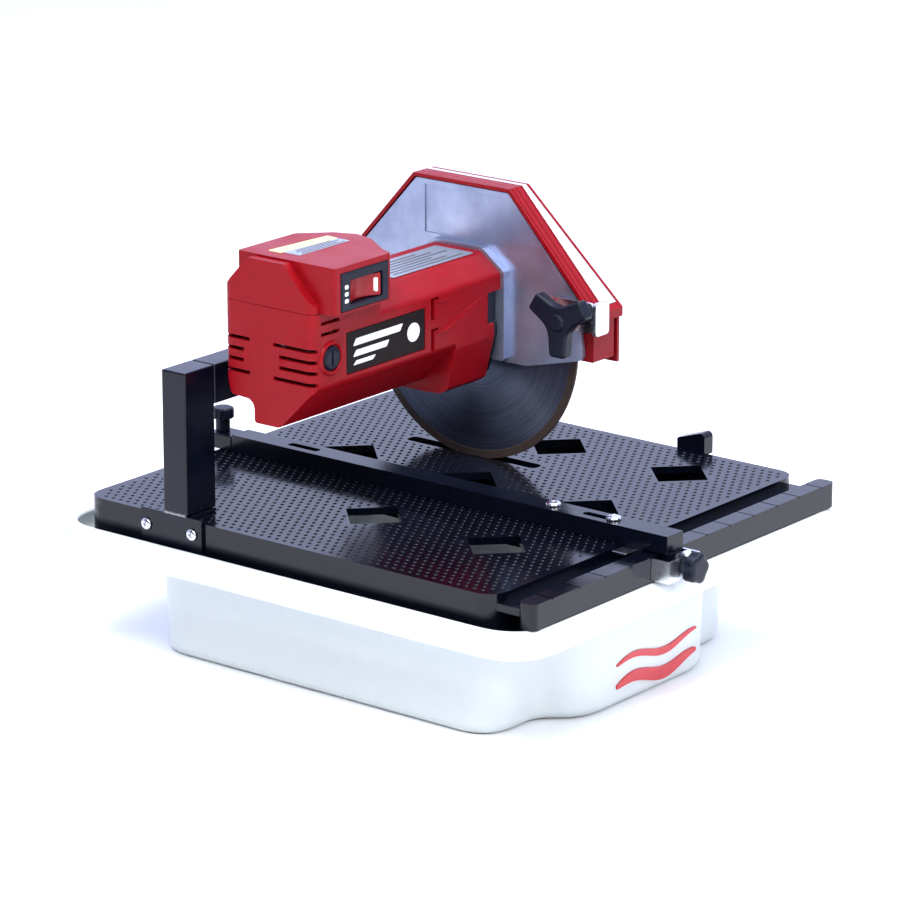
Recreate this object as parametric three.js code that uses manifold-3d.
// A small wet tile saw: a water pan, a dimpled cutting table that lifts out of it, a post and arm
// that carry a geared motor with its blade and guard above the table, and a clamped rip fence.
// Millimetres, +Z up.  Helper frame: X runs to the operator's right, Y is the feed direction,
// and the front left corner of the table top is (0, 0, 0).  The finished group is shifted so that
// the centre of the pan's footprint box is the origin and the pan stands on z = 0.

import * as THREE from 'three';
import { mergeVertices } from 'three/addons/utils/BufferGeometryUtils.js';
import Module from 'manifold-3d';

const wasm = await Module();
wasm.setup();

// ---- driving dimensions ----
const GAP = 0.3;                 // clearance between pieces that touch
const TABLE_W = 335;
const TABLE_L = 345;
const TABLE_T = 5;               // thickness of the table plate
const SKIRT_BOTTOM = -34.7;
const SKIRT_T = 4;
const RAIL = { x0: 3, x1: 337, y0: -29.5, y1: -16, z0: -17.7, z1: -0.5 };
const DIAMOND = 24;              // half diagonal of a drain hole
const DIAMOND_X = [84, 184.7, 285.5];
const DIAMOND_Y = [63, 165, 268];

const BLADE_R = 89;
const BLADE_X = 238.2;           // plane of the blade
const BLADE_T = 2.2;
const ARBOR_Y = 203;
const ARBOR_Z = 86.3;
const MOTOR_Z = 117;             // armature axis, above the arbor
const ARBOR = [ARBOR_Y, ARBOR_Z];
const ARMATURE = [ARBOR_Y, MOTOR_Z];
const PINION_TEETH = 10;
const GEAR_TEETH = 26;
const SLOT_W = 10.5;
const SLOT_L = 113;

const PAN_TOP = -18;
const PAN_SHELF = -35;
const PAN_BOTTOM = -112;
const PAN_STEP = 3;              // the floor is drawn in a little above the ground
const PAN_T = 3;
const RIM = { x0: -16, x1: 351, y0: -36, y1: 371, r: 42 };
const TUB = { x0: 32, x1: 303, y0: 27, y1: 318, r: 30 };
const NOSE = { x0: 90, x1: 245, y: 2 };   // the tub's forward step

const POST = { x0: -2, x1: 27, y0: 252.5, y1: 273, z1: 100 };
const ARM_Z0 = 73.3;
const TUBE_T = 2.5;
const ARM_END = 218.7;
const BOLT_Y = [-17, 17].map((offset) => (POST.y0 + POST.y1) / 2 + offset);
const BOLT_Z = (ARM_Z0 + POST.z1) / 2;
const PLATE_SCREW = { y: [248, 287.8], z: -8.5, bore: 2.3 };

const HOUSING_X0 = 24;
const HOUSING_X1 = 205;
const HOUSING_Y0 = 165;
const HOUSING_Y1 = 241;
const SPLIT_Z = 148;             // joint between motor housing and switch cover
const COVER_TOP = 179.5;
const WALL = 3;
const FREE_END_R = 7;            // rounded upright corners at the housing's free end
const BRUSH = { x: 41.5, z: 116.5, bore: 8.3 };
const BULGE = { x0: 170.8, x1: 212, bottom: 60.6 };   // gear case under the housing's blade end
const EAR_Z = 126;               // above this the housing reaches the guard plate
const GUARD_X = 225;             // outer face of the cast guard plate

const GUARD_KNOB = [102.8, 117];  // axis of the guard knob, along X
const GUARD_PIVOT = [297, 88];    // the guard cover swings up about this axis, along X

const FENCE = { x0: 134.5, x1: 152, y0: -36, y1: 333, z0: 0.3, z1: 12.5 };
const FENCE_MID = (FENCE.x0 + FENCE.x1) / 2;

// ---- materials ----
const mat = (color, roughness, metalness) => new THREE.MeshStandardMaterial({ color, roughness, metalness });
const WHITE = () => mat(0xe9eff0, 0.45, 0);
const BLACK = () => mat(0x0c0d10, 0.25, 0.2);
const RED = () => mat(0xb01a22, 0.4, 0);
const KNOB = () => mat(0x14151a, 0.5, 0);
const CAST = () => mat(0xa9b4cc, 0.4, 0.8);
const STEEL = () => mat(0xb9bec6, 0.3, 1);
const BLADE = () => mat(0x3a4150, 0.3, 0.9);
const COPPER = () => mat(0xb0623a, 0.4, 0.9);
const CARBON = () => mat(0x2a2a2c, 0.7, 0.1);

// ---- shape helpers ----
function solid(geometry) {
  const g = geometry.clone();
  g.deleteAttribute('normal');
  g.deleteAttribute('uv');
  const merged = mergeVertices(g, 1e-4);
  return new wasm.Manifold(new wasm.Mesh({
    numProp: 3,
    vertProperties: new Float32Array(merged.attributes.position.array),
    triVerts: new Uint32Array(merged.index.array),
  }));
}

function box(x0, x1, y0, y1, z0, z1) {
  const g = new THREE.BoxGeometry(x1 - x0, y1 - y0, z1 - z0);
  g.translate((x0 + x1) / 2, (y0 + y1) / 2, (z0 + z1) / 2);
  return solid(g);
}

// a turned piece along an axis: profile is [[position along the axis, radius], ...] from end to end
function turned(axis, centre, profile, segments = 24) {
  const points = [new THREE.Vector2(0, profile[0][0])];
  profile.forEach(([along, radius]) => points.push(new THREE.Vector2(radius, along)));
  points.push(new THREE.Vector2(0, profile[profile.length - 1][0]));
  const g = new THREE.LatheGeometry(points, segments);
  if (axis === 'x') g.rotateZ(-Math.PI / 2);
  if (axis === 'z') g.rotateX(Math.PI / 2);
  const place = { x: [0, centre[0], centre[1]], y: [centre[0], 0, centre[1]], z: [centre[0], centre[1], 0] };
  g.translate(...place[axis]);
  return solid(g);
}

const rod = (axis, centre, radius, from, to, segments = 24) =>
  turned(axis, centre, [[from, radius], [to, radius]], segments);

// a closed shape pushed along an axis; a shape's own axes are (x, y) for z, (z, x) for y, (y, z) for x
function push(axis, shape, from, to, curveSegments = 6) {
  const g = new THREE.ExtrudeGeometry(shape, { depth: to - from, bevelEnabled: false, curveSegments });
  g.translate(0, 0, from);
  const turn = {
    x: new THREE.Matrix4().set(0, 0, 1, 0, 1, 0, 0, 0, 0, 1, 0, 0, 0, 0, 0, 1),
    y: new THREE.Matrix4().set(0, 1, 0, 0, 0, 0, 1, 0, 1, 0, 0, 0, 0, 0, 0, 1),
    z: new THREE.Matrix4(),
  };
  g.applyMatrix4(turn[axis]);
  return solid(g);
}

const outline = (points) => new THREE.Shape(points.map(([a, b]) => new THREE.Vector2(a, b)));

// a closed outline whose corners are rounded; each point is [a, b, radius]
function softOutline(points, radius = 0) {
  const shape = new THREE.Shape();
  const count = points.length;
  points.forEach((point, i) => {
    const here = new THREE.Vector2(point[0], point[1]);
    const before = new THREE.Vector2(...points[(i + count - 1) % count].slice(0, 2));
    const after = new THREE.Vector2(...points[(i + 1) % count].slice(0, 2));
    const cut = point[2] ?? radius;
    const start = here.clone().lerp(before, cut / here.distanceTo(before));
    const end = here.clone().lerp(after, cut / here.distanceTo(after));
    if (i === 0) shape.moveTo(start.x, start.y);
    else shape.lineTo(start.x, start.y);
    if (cut > 0) shape.quadraticCurveTo(here.x, here.y, end.x, end.y);
  });
  shape.closePath();
  return shape;
}

const rounded = (a0, a1, b0, b1, r) => softOutline([[a0, b0], [a1, b0], [a1, b1], [a0, b1]], r);

const join = (...parts) => parts.reduce((sum, part) => sum.add(part));
const cut = (body, ...tools) => tools.reduce((rest, tool) => rest.subtract(tool), body);

const root = new THREE.Group();

function add(name, body, material) {
  const { vertProperties, triVerts } = body.getMesh();
  const g = new THREE.BufferGeometry();
  g.setAttribute('position', new THREE.BufferAttribute(new Float32Array(vertProperties), 3));
  g.setIndex(new THREE.BufferAttribute(new Uint32Array(triVerts), 1));
  g.computeVertexNormals();
  const mesh = new THREE.Mesh(g, material);
  mesh.name = name;
  root.add(mesh);
}

// ---- water pan: a rimmed upper tier, a shelf the table stands on, and a deep tub ----
function tubOutline(inset) {
  const x0 = TUB.x0 + inset;
  const x1 = TUB.x1 - inset;
  const y0 = TUB.y0 + inset;
  const y1 = TUB.y1 - inset;
  const r = TUB.r - inset;
  const step = 10;
  return softOutline([
    [x0, y0, r], [NOSE.x0 - step + inset, y0, 8], [NOSE.x0 + step + inset, NOSE.y + inset, 14],
    [NOSE.x1 - step - inset, NOSE.y + inset, 14], [NOSE.x1 + step - inset, y0, 8],
    [x1, y0, r], [x1, y1, r], [x0, y1, r],
  ]);
}

function makePan() {
  const rim = (inset) =>
    rounded(RIM.x0 + inset, RIM.x1 - inset, RIM.y0 + inset, RIM.y1 - inset, RIM.r - inset);
  const lip = 9;
  const outer = join(
    push('z', rim(0), PAN_SHELF - PAN_T, PAN_TOP),
    push('z', tubOutline(0), PAN_BOTTOM + PAN_STEP, PAN_SHELF - PAN_T),
    push('z', tubOutline(PAN_STEP), PAN_BOTTOM, PAN_BOTTOM + PAN_STEP),
  );
  const pan = cut(
    outer,
    push('z', rim(lip), PAN_TOP - 4, PAN_TOP + 1),
    push('z', rim(PAN_T), PAN_SHELF, PAN_TOP - 4),
    push('z', tubOutline(PAN_T), PAN_BOTTOM + PAN_STEP + PAN_T, PAN_SHELF + 1),
    push('z', tubOutline(PAN_STEP + PAN_T), PAN_BOTTOM + PAN_T, PAN_BOTTOM + PAN_STEP + PAN_T + 1),
  );
  add('water_pan', pan, WHITE());
}

// ---- submersible pump in the back corner of the tub ----
const PUMP = { x: 70, y: 282, r: 22 };

function makePump() {
  const floor = PAN_BOTTOM + PAN_T + GAP;
  const at = [PUMP.x, PUMP.y];
  const body = cut(
    join(
      rod('z', at, PUMP.r, floor + 12, floor + 44, 28),
      rod('z', at, 4.5, floor + 43, floor + 58, 16),
      box(PUMP.x - PUMP.r - 5, PUMP.x + PUMP.r + 5, PUMP.y - 6, PUMP.y + 6, floor + 12, floor + 17),
    ),
    rod('z', at, PUMP.r - 3, floor + 11, floor + 26, 28),
    rod('z', at, 2.6, floor + 20, floor + 60, 16),
  );
  add('pump_housing', body, KNOB());
  const slots = [];
  for (let i = 0; i < 8; i += 1) {
    const angle = (i * Math.PI) / 4 + 0.2;
    const slot = push('z', outline([[12, -1.6], [30, -1.6], [30, 1.6], [12, 1.6]]), floor + 2, floor + 8);
    slots.push(slot.rotate([0, 0, (angle * 180) / Math.PI]).translate([PUMP.x, PUMP.y, 0]));
  }
  const cover = cut(
    rod('z', at, PUMP.r, floor, floor + 12 - GAP, 28),
    rod('z', at, PUMP.r - 3, floor + 2, floor + 13, 28),
    ...slots,
  );
  add('pump_intake_cover', cover, KNOB());
  const blades = [];
  const bladeCount = 5;
  for (let i = 0; i < bladeCount; i += 1) {
    const blade = box(2, 14, -1, 1, floor + 15, floor + 23).rotate([0, 0, (i * 360) / bladeCount]);
    blades.push(blade.translate([PUMP.x, PUMP.y, 0]));
  }
  add('pump_impeller', join(
    rod('z', at, 15, floor + 13, floor + 15.5, 20),
    rod('z', at, 5, floor + 12.5, floor + 24, 12),
    ...blades,
  ), WHITE());
}

// ---- cutting table ----
function makeTable() {
  const corner = 16;
  const plan = (inset) => rounded(inset, TABLE_W - inset, inset, TABLE_L - inset, corner - inset / 2);
  const skirt = cut(
    push('z', plan(0), SKIRT_BOTTOM, -TABLE_T + 0.5),
    push('z', plan(SKIRT_T), SKIRT_BOTTOM - 1, -TABLE_T + 1),
  );
  const ribs = [];
  [112, 215].forEach((y) => ribs.push(box(2, TABLE_W - 2, y - 1.5, y + 1.5, -18, -TABLE_T + 1)));
  [40, 135, 214].forEach((x) => ribs.push(box(x - 1.5, x + 1.5, 2, TABLE_L - 2, -18, -TABLE_T + 1)));
  const holes = [];
  DIAMOND_X.forEach((x, i) => DIAMOND_Y.forEach((y, j) => {
    const besidePost = i === 0 && j === DIAMOND_Y.length - 1;
    if (besidePost) {
      return;
    }
    const diamond = outline([[x - DIAMOND, y], [x, y - DIAMOND], [x + DIAMOND, y], [x, y + DIAMOND]]);
    holes.push(push('z', diamond, -20, 1));
  }));
  const slotX = [BLADE_X - SLOT_W / 2, BLADE_X + SLOT_W / 2];
  const slotY = [ARBOR_Y - SLOT_L / 2, ARBOR_Y + SLOT_L / 2];
  const slot = rounded(...slotX, ...slotY, 5);
  const table = cut(
    join(
      push('z', plan(0), -TABLE_T, 0),
      skirt,
      box(6, TABLE_W - 6, RAIL.y1 - 2, 3, -11, -6),
      push('z', rounded(RAIL.x0, RAIL.x1, RAIL.y0, RAIL.y1, 5), RAIL.z0, RAIL.z1),
      box(34, 300, TABLE_L - 2, TABLE_L + 6, -8, -4.5),
      ...ribs,
    ),
    push('z', slot, -20, 1),
    ...holes,
  );
  add('table', table, BLACK());
  makeSideBracket();
}

// a bent strip on the table's right edge: an upright web, a rising shelf and a lip turned down
function makeSideBracket() {
  const side = TABLE_W + GAP;
  const back = 100.5;
  const front = 79.5;
  const shelf = softOutline([
    [back, 4.6], [back, 7.1, 0.8], [front + 1, 13.6, 1.5], [front - 2, 11.5, 2], [front - 2, -2],
    [front + 0.2, -2], [front + 0.2, 10.2, 1],
  ]);
  const web = outline([[back, -14], [back, 5.5], [front, 11.2], [front, -14]]);
  add('side_bracket', join(
    push('x', shelf, side, side + 10, 4),
    push('x', web, side, side + 2.2),
  ), BLACK());
}

// ---- post, arm and their plates ----
function screwHead(name, axis, centre, base, towards, headR, headH, shankR, shankL, material) {
  const tip = base - towards * shankL;
  const top = base + towards * headH;
  const body = join(
    turned(axis, centre, [[Math.min(base, top), headR], [Math.max(base, top), headR]], 16),
    rod(axis, centre, shankR, Math.min(base, tip), Math.max(base, tip), 10),
  );
  add(name, body, material);
}

function makePost() {
  const plate = cut(
    join(
      box(-2.3, -GAP, 240, 293, -30, 2.6),
      box(-2.3, POST.x1, POST.y0, POST.y1, GAP, 2.6),
    ),
    ...PLATE_SCREW.y.map((y) => rod('x', [y, PLATE_SCREW.z], PLATE_SCREW.bore, -5, 3, 12)),
  );
  add('post_plate', plate, BLACK());
  const post = cut(
    box(POST.x0, POST.x1, POST.y0, POST.y1, 2.9, POST.z1),
    box(POST.x0 + TUBE_T, POST.x1 - TUBE_T, POST.y0 + TUBE_T, POST.y1 - TUBE_T, 1, POST.z1 - TUBE_T),
  );
  add('post', post, BLACK());
  const arm = cut(
    box(POST.x1 + GAP, ARM_END, POST.y0, POST.y1, ARM_Z0, POST.z1),
    box(POST.x1, ARM_END + 1, POST.y0 + TUBE_T, POST.y1 - TUBE_T, ARM_Z0 + TUBE_T, POST.z1 - TUBE_T),
  );
  add('arm', arm, BLACK());
  const endPlate = cut(
    box(ARM_END + GAP, GUARD_X - GAP, BOLT_Y[0] - 7, BOLT_Y[1] + 7, ARM_Z0 + 1, POST.z1),
    ...BOLT_Y.map((y) => rod('x', [y, BOLT_Z], 3.3, ARM_END - 2, GUARD_X + 1, 12)),
  );
  add('arm_end_plate', endPlate, BLACK());
  ['plate_screw_front', 'plate_screw_rear'].forEach((name, i) => {
    screwHead(name, 'x', [PLATE_SCREW.y[i], PLATE_SCREW.z], -2.6, -1, 4.2, 2.2, 2, 1.9, STEEL());
  });
  BOLT_Y.forEach((y, i) => {
    screwHead(`arm_bolt_${i + 1}`, 'x', [y, BOLT_Z], ARM_END, -1, 5.5, 4, 3, 10.5, STEEL());
  });
}

// ---- motor housing and the cover that carries the switch ----
const bodySection = (grow = 0) => [
  [HOUSING_Y0 - grow, 97 - grow * 0.4],
  [HOUSING_Y0 - grow, 137 + grow * 0.4],
  [182 - grow * 0.4, 150 + grow],
  [223 + grow * 0.4, 150 + grow],
  [HOUSING_Y1 + grow, 137 + grow * 0.4],
  [HOUSING_Y1 + grow, 100 - grow * 0.4],
  [235 + grow * 0.7, 84.5 - grow * 0.7],
  [219 + grow * 0.5, 83.5 - grow],
  [215.5 + grow, 79.5 - grow],
  [215.5 + grow, 68.2 - grow],
  [194 - grow * 0.4, 68.2 - grow],
];

// section of the gear case under the blade end, moved inwards by a distance
const bulgeSection = (inset = 0) => {
  const base = BULGE.bottom + inset;
  const half = [
    [HOUSING_Y0 + inset, 104],
    [HOUSING_Y0 + inset, 94.7],
    [172.2 + inset * 0.9, base + 5],
    [178 + inset * 0.5, base + 1],
    [190, base],
  ];
  const back = half.map(([y, z]) => [HOUSING_Y0 + HOUSING_Y1 - y, z]).reverse();
  return softOutline([...half, ...back], 1.5);
};

// what a block must lose for the upright corners at the free end to be round
function freeEndCorners(y0, z0, z1) {
  const past = HOUSING_X0 + 40;
  const round = softOutline([
    [HOUSING_X0, HOUSING_Y0, FREE_END_R], [past, HOUSING_Y0], [past, HOUSING_Y1],
    [HOUSING_X0, HOUSING_Y1, FREE_END_R],
  ]);
  return cut(
    box(HOUSING_X0 - 1, HOUSING_X0 + FREE_END_R, y0, HOUSING_Y1 + 1, z0, z1),
    push('z', round, z0 - 10, z1 + 10),
  );
}

function ventSlots() {
  const slots = [];
  const sideRows = [123.5, 116, 108.8, 101];
  sideRows.forEach((z, i) => {
    const inner = i % 3 === 0 ? 199 : 194;
    const outer = i % 3 === 0 ? 219 : 224;
    slots.push(box(HOUSING_X0 - 1, HOUSING_X0 + 5, HOUSING_Y0 - 1, inner, z - 1.3, z + 1.3));
    slots.push(box(HOUSING_X0 - 1, HOUSING_X0 + 4, outer, HOUSING_Y1 + 1, z - 1.3, z + 1.3));
  });
  [140.8, 133.5].forEach((z) => slots.push(box(32, 50, HOUSING_Y0 - 1, HOUSING_Y0 + 4, z - 1.2, z + 1.2)));
  return slots;
}

function makeHousing() {
  const section = softOutline(bodySection(), 2.5);
  const tallX1 = 92;
  const grilleTops = [131.7, 110.7];
  const ear = cut(push('x', section, HOUSING_X1 - 1, ARM_END, 3), box(200, 230, 150, 260, 50, EAR_Z));
  const shell = cut(
    join(
      push('x', section, HOUSING_X0, HOUSING_X1, 3),
      box(HOUSING_X0, tallX1, HOUSING_Y0, HOUSING_Y1, 120, SPLIT_Z - GAP),
      push('x', bulgeSection(), BULGE.x0, BULGE.x1, 3),
      ear,
      ...grilleTops.map((z) => box(150.6, 163.3, HOUSING_Y0 - 0.9, HOUSING_Y0 + 1, z - 1.6, z)),
    ),
    freeEndCorners(HOUSING_Y0 - 1, 60, 190),
    box(HOUSING_X0 - 1, tallX1 + GAP, HOUSING_Y0 - 1, HOUSING_Y1 + 1, SPLIT_Z - GAP, 200),
    push('x', bulgeSection(2.3), HOUSING_X1, BULGE.x1 + 1, 3),
    box(HOUSING_X1, BULGE.x1 + 1, HOUSING_Y0 + 2.3, HOUSING_Y1 - 2.3, 95, 110),
  );
  const inner = softOutline(bodySection(-WALL), 2);
  const cavity = join(
    push('x', inner, HOUSING_X0 + WALL + 1, 144, 3),
    push('x', inner, 153, 219.5, 3),
    rod('x', ARBOR, 23.5, BULGE.x0 + WALL, HOUSING_X1 + 1, 32),
    rod('x', ARBOR, 11.3, 146.5, 154, 24),
    box(34, 86, 176, 230, 130, 200),
    rod('x', ARMATURE, 11.3, 140, 156, 24),
    rod('x', ARMATURE, 11.3, HOUSING_X0 + 3, HOUSING_X0 + 8, 24),
  );
  const brushBores = [
    [HOUSING_Y0 - 1, HOUSING_Y0 + WALL + 2],
    [HOUSING_Y1 - WALL - 2, HOUSING_Y1 + 1],
  ].map(([from, to]) => rod('y', [BRUSH.x, BRUSH.z], BRUSH.bore, from, to, 20));
  const recess = box(57, 138.3, HOUSING_Y0 - 1, HOUSING_Y0 + 0.8, 101.5, 130);
  const grilles = grilleTops.map((z) => join(
    box(144.4, 148, HOUSING_Y0 - 1, HOUSING_Y0 + 3.6, z - 12.2, z + 2.9),
    box(144.4, 152.5, HOUSING_Y0 - 1, HOUSING_Y0 + 2.4, z + 1.2, z + 2.9),
  ));
  const openings = [...ventSlots(), ...brushBores, recess, ...grilles];
  add('motor_housing', cut(shell, cavity, ...openings), RED());
}

function makeSwitchCover() {
  const saddle = softOutline([
    [31, 152], [86.5, 152], [91, 163], [107, 184.5], [112, 201], [106, 216], [88, 234], [31, 234],
  ], 1.5);
  const cap = softOutline([
    [HOUSING_Y0, SPLIT_Z], [HOUSING_Y0, 153], [172, 159], [190, 178.2], [220, 178.2], [239, 158],
    [HOUSING_Y1, SPLIT_Z],
  ], 1);
  const motorTop = push('x', softOutline(bodySection(GAP), 2.5), 92, 130, 3);
  const roundedCap = cut(push('x', cap, HOUSING_X0, 60, 3), freeEndCorners(150, 140, 190));
  const outer = cut(join(roundedCap, push('z', saddle, SPLIT_Z, COVER_TOP)), motorTop);
  const hollow = join(
    box(34, 86, 168, 231, 140, COVER_TOP - WALL),
    box(39, 81, 155, 170, 151, 171.5),
    box(86, 100, 184, 214, 151.5, COVER_TOP - WALL),
  );
  const opening = box(36, 84, 150, 156, 149.5, 175.5);
  const inlet = rod('y', [60, 163], 4, 228, 240, 16);
  const boss = rod('y', [60, 163], 8, 233, 236.5, 20);
  add('switch_cover', cut(join(outer, boss), hollow, opening, inlet), RED());
  const bezel = cut(
    join(
      box(36 + GAP, 84 - GAP, 151.2, 155.7, 149.5 + GAP, 175.5 - GAP),
      box(40, 80, 155.5, 164, 151.3, 171.2),
    ),
    box(45.4, 77.5, 150, 162, 153.5, 169.5),
  );
  add('switch_bezel', bezel, KNOB());
}

// the rocker tips about an upright axis, so its dished face runs left to right
const ROCKER = { x: 60.5, y: 158.5, z0: 154, z1: 169, half: 14.5 };

function makeRocker() {
  const face = new THREE.Shape();
  face.moveTo(ROCKER.x - ROCKER.half, 152.4);
  face.quadraticCurveTo(ROCKER.x, 160.2, ROCKER.x + ROCKER.half, 150.6);
  face.lineTo(ROCKER.x + ROCKER.half - 1.5, 156.5);
  face.lineTo(ROCKER.x, 161);
  face.lineTo(ROCKER.x - ROCKER.half + 0.5, 158);
  face.closePath();
  add('switch_rocker', push('z', face, ROCKER.z0, ROCKER.z1, 8), RED());
}

// ---- motor internals ----
function makeInternals() {
  const ring = (centre, outer, inner, from, to, segments = 24) =>
    cut(rod('x', centre, outer, from, to, segments), rod('x', centre, inner, from - 1, to + 1, segments));
  add('bearing_rear', ring(ARMATURE, 11, 4.3, 28.3, 34), STEEL());
  add('commutator', ring(ARMATURE, 12, 4.3, 36, 48, 28), COPPER());
  add('armature_core', ring(ARMATURE, 22, 4.3, 66, 114, 28), STEEL());
  add('winding_rear', ring(ARMATURE, 28.5, 23, 58, 65.7, 28), COPPER());
  add('stator_core', ring(ARMATURE, 29, 23, 66, 114, 28), STEEL());
  add('winding_front', ring(ARMATURE, 28.5, 23, 114.3, 122, 28), COPPER());
  const blades = [];
  const bladeCount = 9;
  for (let i = 0; i < bladeCount; i += 1) {
    const blade = box(127, 135, -1, 1, 7, 27).rotate([(i * 360) / bladeCount, 0, 0]);
    blades.push(blade.translate([0, ARBOR_Y, MOTOR_Z]));
  }
  const hub = join(rod('x', ARMATURE, 9, 127, 135, 18), rod('x', ARMATURE, 27, 135, 137, 24), ...blades);
  add('fan', cut(hub, rod('x', ARMATURE, 4.3, 120, 140, 18)), KNOB());
  add('bearing_front', ring(ARMATURE, 11, 4.3, 146, 152), STEEL());
  add('armature_shaft', rod('x', ARMATURE, 4, 27.5, 191, 16), STEEL());
  const gear = (centre, base, tip, teeth, bore, from, to, phase = 0) => {
    const shape = new THREE.Shape();
    for (let i = 0; i < teeth; i += 1) {
      const s = (2 * Math.PI) / teeth;
      const a = (i + phase) * s;
      [[base, -0.24], [tip, -0.1], [tip, 0.1], [base, 0.24]].forEach(([r, f], k) => {
        const p = [centre[0] + r * Math.cos(a + f * s), centre[1] + r * Math.sin(a + f * s)];
        if (i === 0 && k === 0) shape.moveTo(...p);
        else shape.lineTo(...p);
      });
    }
    shape.closePath();
    return cut(push('x', shape, from, to), rod('x', centre, bore, from - 1, to + 1, 16));
  };
  add('pinion', gear(ARMATURE, 7.2, 9.5, PINION_TEETH, 4.3, 174, 190, 0.5), STEEL());
  add('drive_gear', gear(ARBOR, 20.6, 22.9, GEAR_TEETH, 8.2, 176, 188), STEEL());
  add('arbor_bearing_inner', ring(ARBOR, 11, 6.3, 147, 152.7), STEEL());
  add('arbor_bearing_outer', ring(ARBOR, 14, 8.3, 207, 216), STEEL());
  const arborShaft = turned('x', ARBOR, [
    [147, 6], [175.5, 6], [175.5, 7.9], [250.5, 7.9],
  ], 20);
  add('arbor', arborShaft, STEEL());
  const brush = { reach: 12.5, length: 15, half: 3 };
  [['front', -1, HOUSING_Y0], ['rear', 1, HOUSING_Y1]].forEach(([side, sign, face]) => {
    const tip = ARBOR_Y + sign * brush.reach;
    const tail = tip + sign * brush.length;
    add(`brush_${side}`, box(
      BRUSH.x - brush.half, BRUSH.x + brush.half,
      Math.min(tip, tail), Math.max(tip, tail),
      BRUSH.z - brush.half, BRUSH.z + brush.half,
    ), CARBON());
    const out = (d) => face + sign * d;
    const profile = [[out(-5), 8], [out(1.2), 8], [out(2), 7]];
    const cap = turned('y', [BRUSH.x, BRUSH.z], sign < 0 ? profile.reverse() : profile, 24);
    const slotY = [out(0.6), out(3)].sort((a, b) => a - b);
    const slot = box(BRUSH.x - 0.8, BRUSH.x + 0.8, ...slotY, BRUSH.z - 6, BRUSH.z + 6);
    add(`brush_cap_${side}`, cut(cap, slot), KNOB());
  });
}

// ---- gear plate, guard plate and the blade stack ----
function makeGuardPlate() {
  const gearPlate = cut(
    join(
      push('x', bulgeSection(2.6), HOUSING_X1 + GAP, ARM_END, 3),
      push('x', rounded(170, 236, 96, EAR_Z - 0.5, 2), HOUSING_X1 + GAP, ARM_END, 3),
      push('x', softOutline(bodySection(-WALL - 1.2), 2), HOUSING_X1 + GAP, ARM_END, 3),
    ),
    rod('x', ARMATURE, 24, HOUSING_X1 - 1, 212, 28),
    rod('x', ARBOR, 14.3, HOUSING_X1 - 1, 216.3, 24),
    rod('x', ARBOR, 9.5, 200, 222, 20),
  );
  add('gear_plate', gearPlate, BLACK());
  const plate = softOutline([
    [99.5, 86, 5], [105, 126.5, 2], [163.7, 191, 1.5], [242.3, 191, 1.5], [301, 126.5, 2], [305, 86, 5],
    [258, 74, 4], [148, 74, 4],
  ]);
  const pad = softOutline([
    [162.2, 76], [162.2, 138], [181, 152.3], [224, 152.3], [238, 141], [238, 76],
  ], 2);
  const ear = outline([[96, 106], [104.5, 106], [104.5, 126], [96, 117.3]]);
  const body = cut(
    join(
      push('x', plate, GUARD_X, GUARD_X + 3, 4),
      push('x', pad, 219, GUARD_X + 1, 3),
      push('x', ear, GUARD_X, GUARD_X + 3),
    ),
    rod('x', GUARD_KNOB, 3.3, GUARD_X - 1, GUARD_X + 4, 16),
    rod('x', GUARD_PIVOT, 3.3, GUARD_X - 1, GUARD_X + 4, 16),
    rod('x', ARBOR, 11, 215, 232, 24),
    box(GUARD_X - 1, GUARD_X + 1, 168.5, 235, 154, 187),
    ...BOLT_Y.map((y) => rod('x', [y, BOLT_Z], 3.3, 220, 230, 12)),
  );
  add('guard_plate', body, CAST());
  add('inner_flange', cut(
    turned('x', ARBOR, [[230, 10], [232, 22], [BLADE_X - BLADE_T / 2 - 0.05, 22]], 28),
    rod('x', ARBOR, 8.1, 220, 240, 20),
  ), STEEL());
  add('blade', cut(
    rod('x', ARBOR, BLADE_R, BLADE_X - BLADE_T / 2, BLADE_X + BLADE_T / 2, 72),
    rod('x', ARBOR, 8.1, 230, 245, 20),
  ), BLADE());
  const outerFrom = BLADE_X + BLADE_T / 2 + 0.05;
  add('outer_flange', cut(
    turned('x', ARBOR, [[outerFrom, 22], [outerFrom + 2.5, 22], [outerFrom + 4, 14]], 28),
    rod('x', ARBOR, 8.1, 230, 250, 20),
  ), STEEL());
  add('arbor_nut', cut(
    rod('x', ARBOR, 12.5, outerFrom + 4.2, 249.8, 6),
    rod('x', ARBOR, 8.1, 240, 255, 20),
  ), STEEL());
}

// ---- guard cover: open towards the plate and at the bottom, its far wall leaning out downwards ----
const COVER = {
  near: GUARD_X - 1,
  far: 257,
  lean: 11.5,
  leanFrom: 118.5,
  top: 194.3,
  bottom: 80,
  wall: 2.5,
  frontEnd: 112,
};
const INLET = [262, 104];        // axis of the water inlet, along X

// outline of the cover seen along X, moved inwards by a distance
function coverOutline(inset, bottom) {
  const front = 91 + inset;
  const back = 308.5 - inset;
  const side = inset * 0.45;
  return outline([
    [front, bottom], [front, COVER.leanFrom - side], [161.8 + side, COVER.top - inset],
    [244.2 - side, COVER.top - inset], [304 - inset, 128 - side], [back, 86], [back, bottom],
  ]);
}

// everything on the near side of the leaning far wall, moved inwards by a distance
function farWedge(inset) {
  const far = COVER.far - inset;
  return push('y', outline([
    [60, 200], [60, far], [COVER.leanFrom, far], [COVER.top + 6, far - COVER.lean * 1.08],
    [COVER.top + 6, 200],
  ]), 60, 330);
}

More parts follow.
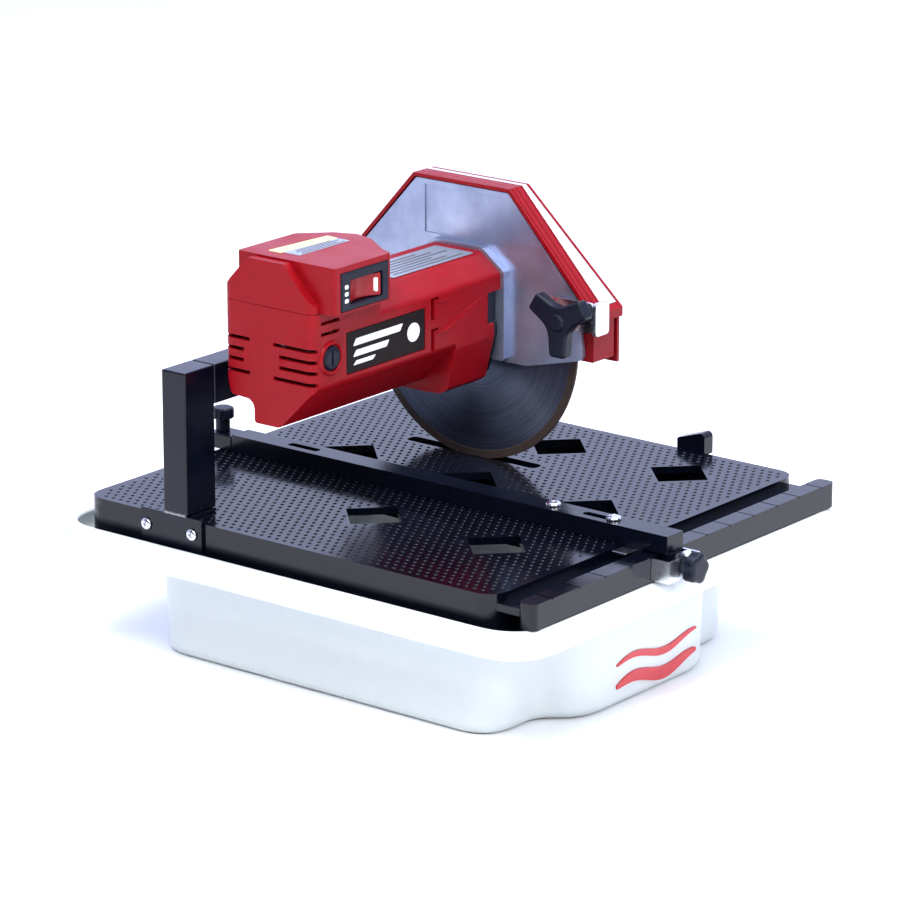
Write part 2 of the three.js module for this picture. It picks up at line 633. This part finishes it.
function makeGuardCover() {
  const shell = (inset, x0, bottom) =>
    push('x', coverOutline(inset, bottom), x0, COVER.far).intersect(farWedge(inset));
  const frontGap = box(200, COVER.far + 1, 80, 93.6, 60, COVER.frontEnd);
  const channel = cut(
    push('x', coverOutline(-1, 70), 238.2, 260),
    push('x', coverOutline(1.1, 70), 230, 262),
    box(230, 262, 60, 330, 60, 121.5),
  ).intersect(farWedge(2.4));
  const cover = cut(
    shell(0, COVER.near, COVER.bottom),
    shell(COVER.wall, COVER.near - 2, COVER.bottom - 20),
    frontGap,
    channel,
    rod('x', GUARD_PIVOT, 3.3, 240, 262, 16),
    rod('x', GUARD_KNOB, 2.9, 240, 262, 14),
  );
  add('guard_cover', cover, RED());
  const strip = cut(
    push('x', coverOutline(0, 70), 238.5, 260),
    push('x', coverOutline(0.8, 70), 230, 262),
    box(230, 262, 60, 330, 60, 121.8),
  ).intersect(farWedge(2.7));
  add('guard_edge_strip', strip, STEEL());
  add('guard_hinge_pin', join(
    rod('x', GUARD_PIVOT, 3, 220, COVER.far + 3, 16),
    rod('x', GUARD_PIVOT, 5.5, COVER.far + GAP, COVER.far + 3, 16),
    rod('x', GUARD_PIVOT, 5.5, 220, GUARD_X - GAP, 16),
  ), STEEL());
  add('water_inlet', cut(
    turned('x', INLET, [
      [COVER.far + GAP, 8], [COVER.far + 3, 8], [COVER.far + 3, 4], [COVER.far + 9, 4],
      [COVER.far + 9.5, 5.2], [COVER.far + 14, 4], [COVER.far + 14.5, 5.2], [COVER.far + 19, 3.8],
    ], 16),
    rod('x', INLET, 2.4, COVER.far + 1, COVER.far + 22, 12),
  ), KNOB());
  const legs = softOutline([
    [93.9, 84.5], [108, 84.5], [110, 122], [98, 122], [95.2, 111.5], [93.9, 111.5],
  ], 1);
  const flap = cut(
    push('x', legs, 228.6, 251.2, 3),
    box(230.8, 249, 96.2, 114, 80, 135),
    rod('x', GUARD_KNOB, 2.9, 220, 260, 14),
  );
  add('guard_flap', flap, RED());
  add('flap_pin', join(
    rod('x', GUARD_KNOB, 2.6, 229, COVER.far + 2.6, 14),
    rod('x', GUARD_KNOB, 5, COVER.far + GAP, COVER.far + 2.6, 14),
  ), STEEL());
}

// ---- guard knob: three arms on a stud that clamps the strap over the cover's front end ----
function makeGuardKnob() {
  const [y, z] = GUARD_KNOB;
  const strap = cut(
    join(
      push('x', rounded(89.5, 126, 107, 127.5, 3), 221.2, 223.7, 3),
      push('y', rounded(105, 127.5, 221.2, 236, 3), 86.8, 89.7, 3),
    ),
    rod('x', GUARD_KNOB, 3.4, 218, 226, 16),
  );
  add('guard_strap', strap, STEEL());
  const arms = [30, 150, 270].map((angle) => push('x', rounded(0, 25, -6.2, 6.2, 2.5), 199, 208, 3)
    .rotate([angle, 0, 0])
    .translate([0, y, z]));
  add('guard_knob', join(
    ...arms,
    rod('x', GUARD_KNOB, 11.5, 200, 209, 18),
    rod('x', GUARD_KNOB, 6.5, 208, 220.9, 16),
    rod('x', GUARD_KNOB, 3, 219, 227.5, 16),
  ), KNOB());
}

// ---- rip fence ----
const CLAMP = { x: 142.5, z: -7 };      // axis of the front clamp screw, along Y
const HOOK_Y = 348.5;                   // axis of the rear thumb screw, upright

function makeFence() {
  const slots = [[8, 37], [262, 288]].map(([y0, y1]) =>
    push('z', rounded(FENCE_MID - 3, FENCE_MID + 3, y0, y1, 2.5), -1, 14, 3));
  const screwY = [13, 62];
  const bar = cut(
    box(FENCE.x0, FENCE.x1, FENCE.y0, FENCE.y1, FENCE.z0, FENCE.z1),
    ...slots,
    rod('z', [FENCE_MID, screwY[1]], 2.6, 4, 14, 12),
  );
  add('fence_bar', bar, BLACK());
  ['fence_screw_front', 'fence_screw_mid'].forEach((name, i) => {
    screwHead(name, 'z', [FENCE_MID, screwY[i]], FENCE.z1 + GAP, 1, 5, 2.6, 2.2, 7.5, STEEL());
  });
  add('fence_pointer', box(121, FENCE.x1 - 2, -13, -2, -1.6, 0), STEEL());
  const head = cut(
    box(FENCE.x0 + 2, FENCE.x1 - 2, FENCE.y0 + 0.5, RAIL.y0 - GAP, -14.5, 0),
    rod('y', [CLAMP.x, CLAMP.z], 3.3, -40, -29, 16),
  );
  add('fence_head', head, BLACK());
  const legX = [CLAMP.x - 16.5, CLAMP.x + 14.5];
  const bracket = cut(
    join(
      box(legX[0], legX[1] + 2, -44, -42, -14, -1.5),
      box(CLAMP.x - 7, CLAMP.x + 7, -44, -42, -2, 2),
      ...legX.map((x) => box(x, x + 2, -43, RAIL.y0 - GAP, -14, -1.5)),
      box(legX[0], legX[0] + 12, -43, RAIL.y0 - GAP, -15.8, -14),
    ),
    rod('y', [CLAMP.x, CLAMP.z], 3.3, -50, -40, 16),
    box(legX[0] + 8.2, legX[0] + 14, -37, -29, -17, 0),
  );
  add('fence_clamp_bracket', bracket, STEEL());
  const star = new THREE.Shape();
  const lobes = 5;
  const steps = 30;
  for (let i = 0; i < steps; i += 1) {
    const a = (i * 2 * Math.PI) / steps;
    const r = 9 + 1.6 * Math.cos(lobes * a);
    if (i === 0) star.moveTo(CLAMP.z + r * Math.cos(a), CLAMP.x + r * Math.sin(a));
    else star.lineTo(CLAMP.z + r * Math.cos(a), CLAMP.x + r * Math.sin(a));
  }
  star.closePath();
  add('fence_knob', join(
    push('y', star, -57, -48),
    rod('y', [CLAMP.x, CLAMP.z], 6, -49, -44.3, 18),
    rod('y', [CLAMP.x, CLAMP.z], 3, -45, -30.5, 14),
  ), KNOB());
  const rear = cut(
    box(FENCE.x0, FENCE.x1, FENCE.y1 + GAP, 355, FENCE.z0, FENCE.z1 - 1.5),
    rod('z', [FENCE_MID, HOOK_Y], 3.3, -1, 14, 14),
  );
  add('fence_rear_bracket', rear, BLACK());
  const hook = cut(
    join(
      box(137, 149.5, 345.5, 354.5, -2.6, -0.1),
      box(137, 149.5, 351.4, 354.5, -12, -0.1),
      box(137, 149.5, 345.5, 354.5, -12, -8.5),
    ),
    rod('z', [FENCE_MID, HOOK_Y], 3.3, -3, 1, 14),
  );
  add('fence_rear_hook', hook, STEEL());
  add('fence_rear_knob', join(
    rod('z', [FENCE_MID, HOOK_Y], 8, 20, 28, 16),
    rod('z', [FENCE_MID, HOOK_Y], 5, FENCE.z1 - 1.5 + GAP, 21, 14),
    rod('z', [FENCE_MID, HOOK_Y], 3, -2.4, 12, 14),
  ), KNOB());
}

makePan();
makePump();
makeTable();
makePost();
makeHousing();
makeSwitchCover();
makeRocker();
makeInternals();
makeGuardPlate();
makeGuardCover();
makeGuardKnob();
makeFence();

// the origin is the centre of the whole object's footprint box, on the ground
const bounds = new THREE.Box3().setFromObject(root);
const centre = bounds.getCenter(new THREE.Vector3());
root.position.set(-centre.x, -centre.y, -bounds.min.z);
root.updateMatrixWorld(true);

export default root;
